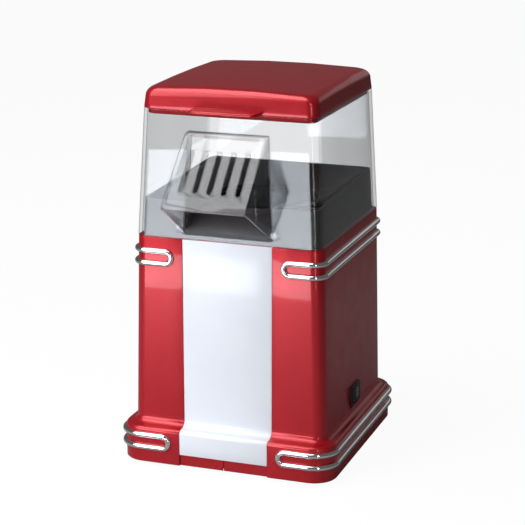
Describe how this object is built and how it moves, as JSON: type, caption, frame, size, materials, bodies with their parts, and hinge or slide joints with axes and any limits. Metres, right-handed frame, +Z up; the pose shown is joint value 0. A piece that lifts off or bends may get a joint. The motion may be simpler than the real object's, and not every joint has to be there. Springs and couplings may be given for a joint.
{
  "type": "popcorn maker",
  "caption": "Hot-air popcorn maker with a red two-shell body, white front panel, chrome rod trims, a clear lift-off dome with a front chute, and a hinged red lid.",
  "frame": {"origin": "on the surface that the feet stand on, under the middle of the base skirt", "axes": "+Z up, +X to the right of someone who faces the front, -Y towards them"},
  "size_m": [0.1742, 0.2113, 0.2907],
  "materials": {
    "body_red": "candy-red metallic lacquer on moulded plastic, high gloss",
    "panel_white": "glossy white moulded plastic",
    "chrome": "bright chrome on rod",
    "tray_dark": "dark grey moulded plastic, fine texture",
    "clear": "clear moulded plastic, polished",
    "chamber_aluminium": "drawn aluminium, dark hard-anodised",
    "silicone": "black heat-proof silicone",
    "tinplate": "rolled sheet steel",
    "mica": "pressed mica sheet",
    "heater_wire": "oxidised resistance wire",
    "fuse_ceramic": "glazed ceramic",
    "heat_plastic": "heat-proof moulded plastic",
    "fan_plastic": "moulded glass-filled plastic",
    "steel": "plated steel",
    "winding": "lacquered copper winding on a laminated core",
    "magnet": "sintered ferrite",
    "board": "glass-fibre board",
    "black_plastic": "black moulded plastic",
    "plate_dark": "dark moulded plastic",
    "rubber_black": "soft black rubber",
    "block_white": "nylon",
    "wire": "insulated stranded wire",
    "lens": "smoked green-grey plastic"
  },
  "bodies": {
    "housing": {"left_body_half": "body_red", "right_body_half": "body_red", "front_panel": "panel_white", "bottom_plate": "plate_dark", "rubber_feet": "rubber_black", "upper_trim_left": "chrome", "upper_trim_right": "chrome", "lower_trim_left": "chrome", "lower_trim_right": "chrome", "popcorn_tray": "tray_dark", "chamber_gasket": "silicone", "popping_chamber": "chamber_aluminium", "air_duct": "tinplate", "heater_frame": "mica", "heater_coil": "heater_wire", "thermostat": "tinplate", "thermal_fuse": "fuse_ceramic", "fan_housing": "heat_plastic", "motor_can": "steel", "motor_magnets": "magnet", "motor_end_cap": "black_plastic", "rectifier_board": "board", "motor_screws": "steel", "chassis_screws": "steel", "base_screws": "steel", "case_screws": "steel", "terminal_block": "block_white", "wiring": "wire", "cord_inlet": "rubber_black", "switch_housing": "black_plastic"},
    "dome": {"dome": "clear", "lid_hinge_pin": "steel"},
    "lid": {"lid": "body_red"},
    "chute": {"chute": "clear"},
    "rocker": {"switch_rocker": "black_plastic", "switch_lens": "lens"},
    "rotor": {"fan_impeller": "fan_plastic", "motor_shaft": "steel", "motor_armature": "winding"}
  },
  "joints": [
    {"name": "dome_lift", "type": "slide", "parent": "housing", "child": "dome", "axis": [0, 0, 1], "range_m": [0, 0.12]},
    {"name": "lid_hinge", "type": "hinge", "parent": "dome", "child": "lid", "pos_m": [0, 0.07635, 0.2732], "axis": [-1, 0, 0], "range_deg": [0, 100]},
    {"name": "chute_pull", "type": "slide", "parent": "dome", "child": "chute", "axis": [0, -1, 0], "range_m": [0, 0.06]},
    {"name": "switch_rock", "type": "hinge", "parent": "housing", "child": "rocker", "pos_m": [0.07376, 0, 0.045], "axis": [0, 0, -1], "range_deg": [0, 16]},
    {"name": "fan_spin", "type": "hinge", "parent": "housing", "child": "rotor", "pos_m": [0, 0.00575, 0.08], "axis": [0, 0, 1], "continuous": true}
  ]
}
